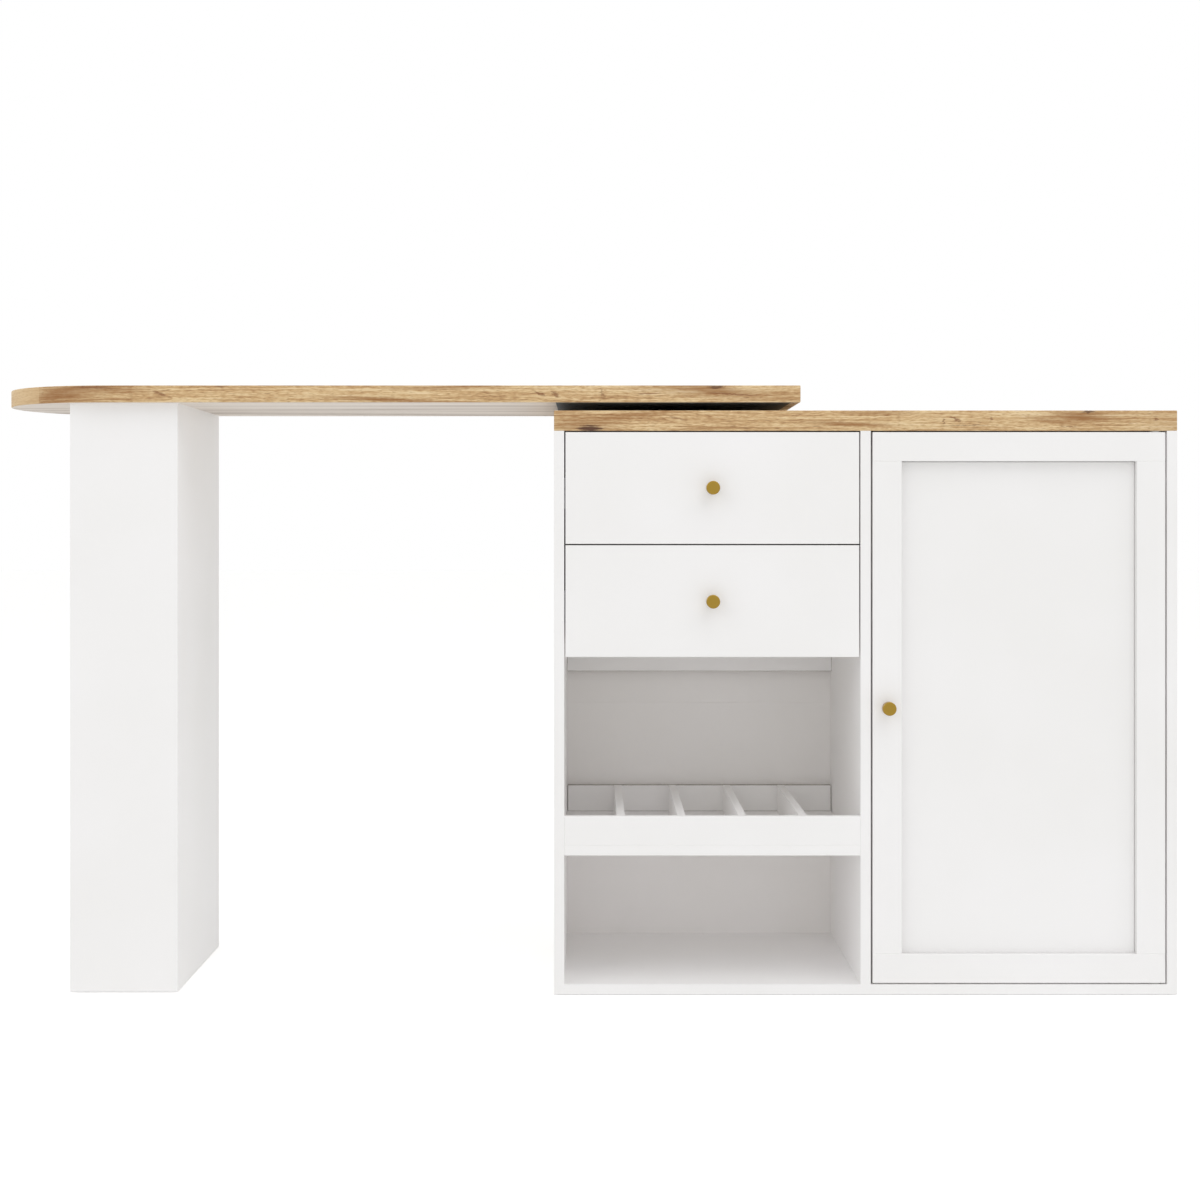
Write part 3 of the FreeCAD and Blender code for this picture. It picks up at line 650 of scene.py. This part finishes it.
def standing_board(node, ending, roll, finishes):
    """A standing board in the box of its solid, with all its edges and corners rolled alike."""
    low, high = upright_box(node)
    profile = board_profile(low[2], high[2], roll)
    piece = swept_board(node + ending, low, high, [roll] * 4, profile, finishes, upright)
    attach(piece, "cabinet")
    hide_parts(node)


print("height of the rear stretcher:", round(np.ptp(upright_box("rear_stretcher"), axis=0)[1], 4), "m")

# %% Raw chipboard edges with painted shade lines, and the two rails
SAWN_ROLL = 0.6 * MM
# The grey of the sawn edges is partly the raw core and partly painted shade for the thin lines at the rails.
chipboard = grained("Raw chipboard edge with painted shade line", ("#A39D96", "#BFB9B2"),
                    grain_mm=2.2, gloss=(0.85, 0.95), relief_mm=0.3, Specular_IOR_Level=0.2)
for node in ("rear_stretcher", "wine_rear_rail"):
    standing_board(node, "_faced", SAWN_ROLL, (chipboard, melamine, melamine))

# %% [markdown]
# ## Back boards
# The back is two thin lacquered boards that meet edge to edge. Solids that only touch show no joint,
# but the lacquer rounds each edge a little, and two such rounds make the fine line across the back.

# %% Back boards with rounded edges
LACQUER_ROLL = 0.4 * MM
for node in ("upper_back_board", "lower_back_board"):
    standing_board(node, "_lacquered", LACQUER_ROLL, [hardboard] * 3)

# %% [markdown]
# ## Door panel
# A framed door holds a thin panel that floats in grooves in its frame. Its edge is rebated to a
# tongue, and the shoulder stops a hair short of the frame, so a fine dark line runs round the field.
# In flat light that line is what draws the frame. Paint could fake it, but a step in the profile of
# the same swept board makes it real. The rebate is cut after pressing, so its walls wear only primer.
# The panel's own weight lets it settle in its grooves, so the line is wider at the top than below.

# %% Door panel with a rebated edge
SHADOW_LINE = 0.45 * MM
SETTLED = 0.4 * MM
TONGUE = 1.6 * MM
primed_fibre = grained("Primed fibreboard edge", ("#EAE9E8", "#F0EFEE"),
                       grain_mm=1.0, gloss=(0.85, 0.95), relief_mm=0.1, Specular_IOR_Level=0.2)
low, high = upright_box("door_panel")
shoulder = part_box("door_knob_stile")[1].x - low[0] + SHADOW_LINE
drop = np.array((0, SETTLED, 0))
low, high = low - drop, high - drop
step = low[2] + TONGUE
profile = np.array((0, 0, shoulder, shoulder)), np.array((low[2], step, step, high[2]))
panel = swept_board("door_panel_rebated", low, high, [shoulder + SHADOW_LINE] * 4, profile,
                    (primed_fibre, melamine, melamine), upright, soft=False)
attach(panel, "door")
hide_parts("door_panel")

# %% [markdown]
# The inner walls of the frame are mixed to a grey a shade darker than the pressed face. This is painted
# shade, so the recess reads as a soft line. The solids of the frame stay as they are: their material takes
# the walls of the opening from the boxes of the stiles and rails, and mixes the grey in there.

# %% Painted shade inside the door frame
SHADE_LAP = 0.15 * MM
left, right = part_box("door_knob_stile")[1].x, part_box("door_hinge_stile")[0].x
bottom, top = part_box("door_bottom_rail")[1].z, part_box("door_top_rail")[0].z
centre = ((left + right) / 2, 0, (bottom + top) / 2)
half = ((right - left) / 2 + SHADE_LAP, 1, (top - bottom) / 2 + SHADE_LAP)
shaded_frame_board = white_board("White melamine with painted shade in the recess", **MELAMINE, opening=(centre, half))
for node in ("door_top_rail", "door_bottom_rail", "door_knob_stile", "door_hinge_stile"):
    nodes[node].data.materials[0] = shaded_frame_board
print("painted shade round an opening of", round(right - left, 3), "by", round(top - bottom, 3), "m")

# %% [markdown]
# ## Turned knobs
# A knob is turned on a lathe, so it is one profile spun about its axis. The profile is a short
# list of radii and distances with small arcs at the rim, which give the thin bright line that
# the flat solid cannot show. Both poles close in a single point.

# %% A turned piece
SPIN_STEPS = 72


def turned(name, profile, base, material):
    """A profile of (radius r, distance d) spun to the front: x = r cos a, y = -d, z = r sin a."""
    radius, distance = profile.T
    angle = np.linspace(0, 2 * np.pi, SPIN_STEPS, endpoint=False)
    ring, depth = radius[1:-1, None], np.broadcast_to(distance[1:-1, None], (len(radius) - 2, SPIN_STEPS))
    spun = np.stack([ring * np.cos(angle), -depth, ring * np.sin(angle)], axis=-1).reshape(-1, 3)
    poles = np.array([(0, -distance[0], 0), (0, -distance[-1], 0)])
    vertices = np.concatenate([spun, poles]) + np.array(base)

    quads = wrapped_quads(len(ring), SPIN_STEPS)
    spoke = np.arange(SPIN_STEPS)
    after = (spoke + 1) % SPIN_STEPS
    last = len(spun) - SPIN_STEPS
    first_fan = np.stack([np.full(SPIN_STEPS, len(spun)), after, spoke], axis=-1)
    last_fan = np.stack([np.full(SPIN_STEPS, len(spun) + 1), last + spoke, last + after], axis=-1)
    faces = quads.tolist() + first_fan.tolist() + last_fan.tolist()

    path = np.concatenate([[0], np.cumsum(np.hypot(np.diff(radius), np.diff(distance)))])
    share = np.arange(SPIN_STEPS + 1) / SPIN_STEPS
    start, end = share[:-1], share[1:]
    first_path = np.broadcast_to(path[[0, 1, 1]], (SPIN_STEPS, 3))
    last_path = np.broadcast_to(path[[-1, -2, -2]], (SPIN_STEPS, 3))
    first_uvs = np.stack([np.stack([start, end, start], axis=-1), first_path], axis=-1)
    last_uvs = np.stack([np.stack([start, start, end], axis=-1), last_path], axis=-1)
    fan_uvs = np.concatenate([first_uvs, last_uvs]).reshape(-1, 2)
    uvs = np.concatenate([wrapped_uvs(share, path[1:-1]), fan_uvs])
    piece = make_mesh(name, vertices, faces, uvs, [True] * len(faces), material)
    print(name, "faces:", len(faces))
    return piece


print("steps round a turned piece:", SPIN_STEPS)

# %% Knobs
# The neck is a list of radii and distances from the board in millimetres, from the axis outwards.
NECK_MM = [(0, 0), (6.0, 0), (6.0, 1.2), (5.4, 2.2), (5.1, 4.0), (5.1, 8.0), (5.6, 10.2), (7.0, 11.6)]
KNOB_RADIUS, KNOB_LENGTH = 10.0 * MM, 25.0 * MM
KNOB_HEAD_BACK = 12.2 * MM
BACK_ROUND, FRONT_ROUND = 0.8 * MM, 1.0 * MM
FACE_RINGS = (8.0 * MM, 4.0 * MM, 0.0)
RIM_STEPS = 5

rim = np.radians(np.linspace(0, 90, RIM_STEPS + 1))
back_in, front_in = KNOB_RADIUS - BACK_ROUND, KNOB_RADIUS - FRONT_ROUND
back_rim = np.stack([back_in + BACK_ROUND * np.sin(rim),
                     KNOB_HEAD_BACK + BACK_ROUND * (1 - np.cos(rim))], axis=-1)
front_rim = np.stack([front_in + FRONT_ROUND * np.cos(rim),
                      KNOB_LENGTH - FRONT_ROUND * (1 - np.sin(rim))], axis=-1)
face = [(radius, KNOB_LENGTH) for radius in FACE_RINGS]
knob_profile = np.concatenate([np.array(NECK_MM) * MM, back_rim, front_rim, face])
for name in ("upper_drawer", "lower_drawer", "door"):
    low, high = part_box(name + "_knob")
    base = ((low.x + high.x) / 2, high.y, (low.z + high.z) / 2)
    piece = turned(name + "_turned_knob", knob_profile, base, brass)
    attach(piece, name)
    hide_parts(name + "_knob")

# %% [markdown]
# ## Screws behind the knobs
# Each knob is held from behind by a pan-head screw, which shows when a drawer or the door stands
# open. A plain disc would look like a plug, so the cross recess matters. The head is a polar grid
# whose height is a crown less a cross-shaped hollow, which takes one line of arithmetic for the
# whole grid. Its rim lies on the board and a flat face closes it there.

# %% Pan-head screws
HEAD_RADIUS, HEAD_HEIGHT = 4.2 * MM, 2.4 * MM
HEAD_RINGS, HEAD_SPOKES = 18, 64
CROWN_POWER = 4
CROSS_REACH, CROSS_WIDTH = 2.3 * MM, 0.55 * MM
CROSS_DEPTH, CROSS_FADE = 1.5 * MM, 0.25 * MM


def screw_head(name, base, body):
    """A pan head facing +Y: height = crown of an ellipse less depth times a soft cross of two arms."""
    part = np.arange(1, HEAD_RINGS + 1)[:, None] / HEAD_RINGS
    angle = np.linspace(0, 2 * np.pi, HEAD_SPOKES, endpoint=False)[None]
    x, z = HEAD_RADIUS * part * np.sin(angle), HEAD_RADIUS * part * np.cos(angle)
    inner, outer = np.minimum(abs(x), abs(z)), np.maximum(abs(x), abs(z))
    within_width = np.clip((CROSS_WIDTH - inner) / CROSS_FADE, 0, 1)
    within_reach = np.clip((CROSS_REACH - outer) / CROSS_FADE, 0, 1)
    height = HEAD_HEIGHT * np.sqrt(1 - part ** CROWN_POWER) - CROSS_DEPTH * within_width * within_reach
    grid = np.stack([x, height, z], axis=-1).reshape(-1, 3)
    points = np.concatenate([grid, [(0, HEAD_HEIGHT - CROSS_DEPTH, 0)]])

    # Taken the other way round, the quads face away from the board.
    quads = wrapped_quads(HEAD_RINGS, HEAD_SPOKES)[:, [0, 3, 2, 1]]
    spoke = np.arange(HEAD_SPOKES)
    fan = np.stack([np.full(HEAD_SPOKES, len(grid)), spoke, (spoke + 1) % HEAD_SPOKES], axis=-1)
    rim_face = (HEAD_RINGS - 1) * HEAD_SPOKES + spoke[::-1]
    faces = quads.tolist() + fan.tolist() + [rim_face.tolist()]
    flat = points[:, [0, 2]]
    uvs = np.concatenate([flat[quads].reshape(-1, 2), flat[fan].reshape(-1, 2), flat[rim_face]])
    smooth = [True] * (len(faces) - 1) + [False]
    piece = make_mesh(name, points + np.array(base), faces, uvs, smooth, zinc)
    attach(piece, body)
    print(name, "faces:", len(faces))


screwed_to = {"upper_drawer": "upper_drawer_front", "lower_drawer": "lower_drawer_front",
              "door": "door_knob_stile"}
for name, board in screwed_to.items():
    low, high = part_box(name + "_knob")
    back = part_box(board)[1].y
    screw_head(name + "_knob_screw", ((low.x + high.x) / 2, back, (low.z + high.z) / 2), name)

# %% [markdown]
# ## Stage
# The photograph has a white surround and even light, as from a large tent of cloth. The world
# gives that even light, and shows plain white to the camera and to mirrors. Two wide lamps, one at
# the left and one high at the right, add a little direction without a hard shadow. The floor is a
# pale sheet that keeps the table's shadow, lifted for the camera so that it meets the white surround.

# %% World
AMBIENT = 0.714
world = bpy.data.worlds.new("White surround")
world.use_nodes = True
scene.world = world
tree = world.node_tree
tree.nodes.clear()
rays = add(tree, "ShaderNodeLightPath").outputs
seen = add(tree, "ShaderNodeMath", {0: rays["Is Camera Ray"], 1: rays["Is Glossy Ray"]}, operation="ADD")
seen = add(tree, "ShaderNodeMath", {0: seen, 1: rays["Is Transmission Ray"]}, operation="ADD", use_clamp=True)
even = add(tree, "ShaderNodeBackground", {"Color": WHITE, "Strength": AMBIENT})
white = add(tree, "ShaderNodeBackground", {"Color": WHITE, "Strength": 1.0})
shown = add(tree, "ShaderNodeMixShader", {0: seen, 1: even, 2: white})
add(tree, "ShaderNodeOutputWorld", {"Surface": shown})
print("world light:", AMBIENT)

# %% Lamps
# Each lamp has its azimuth and elevation in degrees, its width in metres and its power in watts.
LAMPS = {
    "Left lamp": (-56.0, 34.0, 4.0, 32.0),
    "Upper right lamp": (49.0, 58.0, 4.0, 55.0),
}
LAMP_DISTANCE = 4.5
LIT_POINT = Vector((0.0, -0.18, 0.5))
for name, (azimuth, elevation, width, watts) in LAMPS.items():
    lamp = bpy.data.lights.new(name, "AREA")
    lamp.shape = "SQUARE"
    lamp.size, lamp.energy = width, watts
    turn, rise = np.radians((azimuth, elevation))
    toward = Vector((np.sin(turn) * np.cos(rise), -np.cos(turn) * np.cos(rise), np.sin(rise)))
    holder = bpy.data.objects.new(name, lamp)
    holder.location = LIT_POINT + toward * LAMP_DISTANCE
    holder.rotation_euler = toward.to_track_quat("Z", "Y").to_euler()
    scene.collection.objects.link(holder)
print("lamps:", list(LAMPS))

# %% Floor
FLOOR_REACH, FLOOR_DROP = 30.0, 0.2 * MM
FLOOR_LIFT = 0.3
PAPER_GRAIN, PAPER_RELIEF, PAPER_STRENGTH = 40 * MM, 0.1 * MM, 0.05
floor_white, tree, shader = new_material("Pale paper floor", Base_Color=linear("#F8F8F7"), Roughness=0.9,
                                         Emission_Color=WHITE)
place = add(tree, "ShaderNodeTexCoord").outputs["Object"]
paper = add(tree, "ShaderNodeTexNoise", {"Vector": place, "Scale": 1 / PAPER_GRAIN})
relief = {"Height": paper, "Strength": PAPER_STRENGTH, "Distance": PAPER_RELIEF}
feed(tree, shader, skin=add(tree, "ShaderNodeBump", relief))
rays = add(tree, "ShaderNodeLightPath").outputs
lift = add(tree, "ShaderNodeMath", {0: rays["Is Camera Ray"], 1: FLOOR_LIFT}, operation="MULTIPLY")
tree.links.new(lift.outputs[0], shader.inputs["Emission Strength"])
reach = np.array([(-1, -1, 0), (1, -1, 0), (1, 1, 0), (-1, 1, 0)]) * FLOOR_REACH - (0, 0, FLOOR_DROP)
floor = make_mesh("floor", reach, [[0, 1, 2, 3]], reach[:, :2], [False], floor_white)
print("floor reaches:", FLOOR_REACH, "m each way")

# %% [markdown]
# ## Camera
# The photograph looks straight at the cabinet: uprights stay upright and only depth converges, so
# the camera stands level at about 0.69 m. A small lens shift, as an architectural photographer
# uses, moves the picture frame without tilting the camera. The open bays are lit by light that has
# bounced many times between white boards, so the renderer follows more bounces than usual.

# %% Camera
LENS_MM, SENSOR_MM = 59.4, 36.0
LENS_SHIFT = (0.006, -0.05875)
EYE = (0.0203, -3.0995, 0.6873)
FARTHEST_SEEN = 100.0
DIFFUSE_BOUNCES, ALL_BOUNCES = 12, 16
view = bpy.data.cameras.new("Front view")
view.lens, view.sensor_width = LENS_MM, SENSOR_MM
view.shift_x, view.shift_y = LENS_SHIFT
view.clip_end = FARTHEST_SEEN
camera = bpy.data.objects.new("Front view", view)
camera.location = EYE
camera.rotation_euler = (np.radians(90), 0, 0)
scene.collection.objects.link(camera)
scene.camera = camera
scene.view_settings.view_transform = "Standard"
scene.cycles.diffuse_bounces = DIFFUSE_BOUNCES
scene.cycles.max_bounces = ALL_BOUNCES
print("camera at", tuple(round(c, 4) for c in camera.location))
